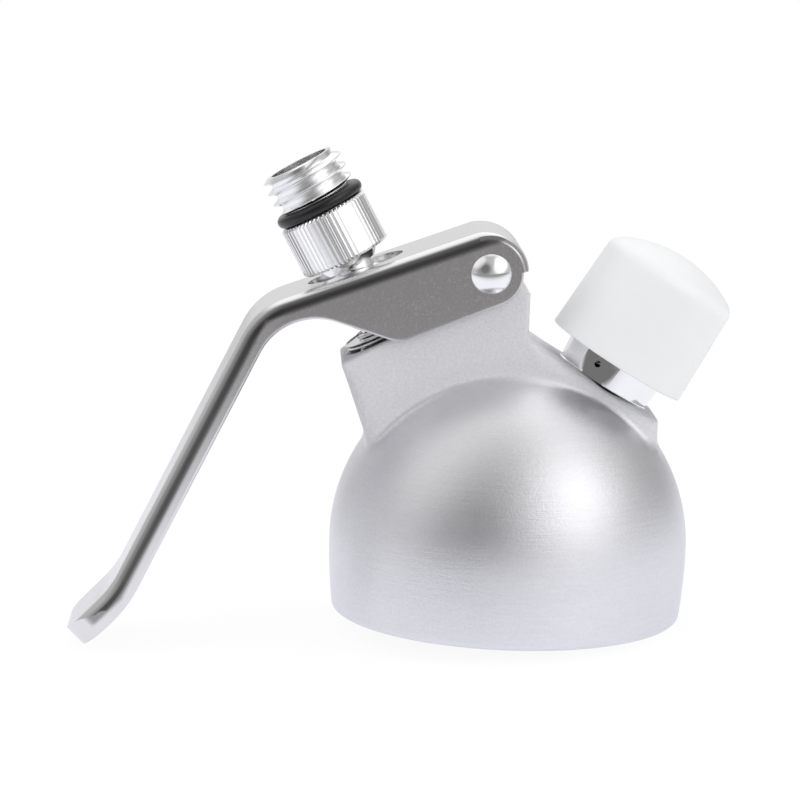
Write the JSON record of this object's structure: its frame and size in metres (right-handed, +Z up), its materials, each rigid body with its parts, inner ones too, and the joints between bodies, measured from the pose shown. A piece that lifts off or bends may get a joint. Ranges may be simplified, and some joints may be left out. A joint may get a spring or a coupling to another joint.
{
  "type": "whipped cream dispenser head",
  "caption": "Domed screw-on head of a whipped cream dispenser: squeeze lever, tilted spring valve with knurled nozzle adapter, and a charger port under a push-on cap.",
  "frame": {"origin": "centre of the rim's mouth, on the axis of the bottle thread", "axes": "+Z up along the bottle thread's axis out of the dome's top, handle towards -X, charger port towards +X"},
  "size_m": [0.1278, 0.07, 0.0982],
  "materials": {
    "cast_dome": "satin, brushed round the dome and blasted on the ridge",
    "lever_steel": "satin top, blasted sides",
    "rivet_steel": "polished dome head",
    "port_chrome": "bright turned",
    "nozzle_metal": "bright turned, knurled collar",
    "stem_metal": "turned",
    "bush_brass": "turned",
    "black_rubber": "smooth black",
    "pale_rubber": "matt off-white silicone",
    "spring_steel": "bright drawn",
    "cap_plastic": "white, slightly see-through",
    "nylon": "natural nylon"
  },
  "bodies": {
    "head": {"head_body": "cast_dome", "bottle_gasket": "pale_rubber", "valve_bush": "bush_brass", "charger_port": "port_chrome", "port_ring": "black_rubber", "port_nut": "port_chrome", "piercing_pin": "stem_metal", "charger_seal": "pale_rubber", "gas_sleeve": "pale_rubber"},
    "lever": {"lever": "lever_steel", "pivot_rivet": "rivet_steel", "front_washer": "nylon", "back_washer": "nylon"},
    "valve": {"valve_stem": "stem_metal", "spring_washer": "spring_steel", "stem_clip": "spring_steel", "valve_spring": "spring_steel", "stem_ring": "black_rubber", "valve_seal": "pale_rubber", "seal_nut": "stem_metal"},
    "adapter_carrier": {"nozzle_ring": "black_rubber"},
    "adapter": {"nozzle_adapter": "nozzle_metal", "adapter_seal": "pale_rubber"},
    "cap": {"charger_cap": "cap_plastic", "cap_sleeve": "cap_plastic"}
  },
  "joints": [
    {"name": "lever_pivot", "type": "hinge", "parent": "head", "child": "lever", "pos_m": [-0.006, 0, 0.068], "axis": [0, -1, 0], "range_deg": [0, 10], "stiffness_Nm_per_rad": 3, "springref_deg": -5.73},
    {"name": "valve_lift", "type": "slide", "parent": "head", "child": "valve", "axis": [0.4848, 0, -0.8746], "range_m": [0, 0.0042], "deforming": ["valve_spring"]},
    {"name": "adapter_rise", "type": "slide", "parent": "valve", "child": "adapter_carrier", "axis": [-0.4848, 0, 0.8746], "range_m": [0, 0.00501]},
    {"name": "adapter_turn", "type": "hinge", "parent": "adapter_carrier", "child": "adapter", "pos_m": [-0.03577, 0, 0.07357], "axis": [-0.4848, 0, 0.8746], "range_deg": [0, 1440]},
    {"name": "cap_pull", "type": "slide", "parent": "head", "child": "cap", "axis": [0.5075, 0, 0.8616], "range_m": [0, 0.03]}
  ],
  "couplings": [
    {"joint": "valve_lift", "follows": "lever_pivot", "m_per_rad": 0.0236},
    {"joint": "adapter_rise", "follows": "adapter_turn", "m_per_rad": 0.00019894}
  ]
}
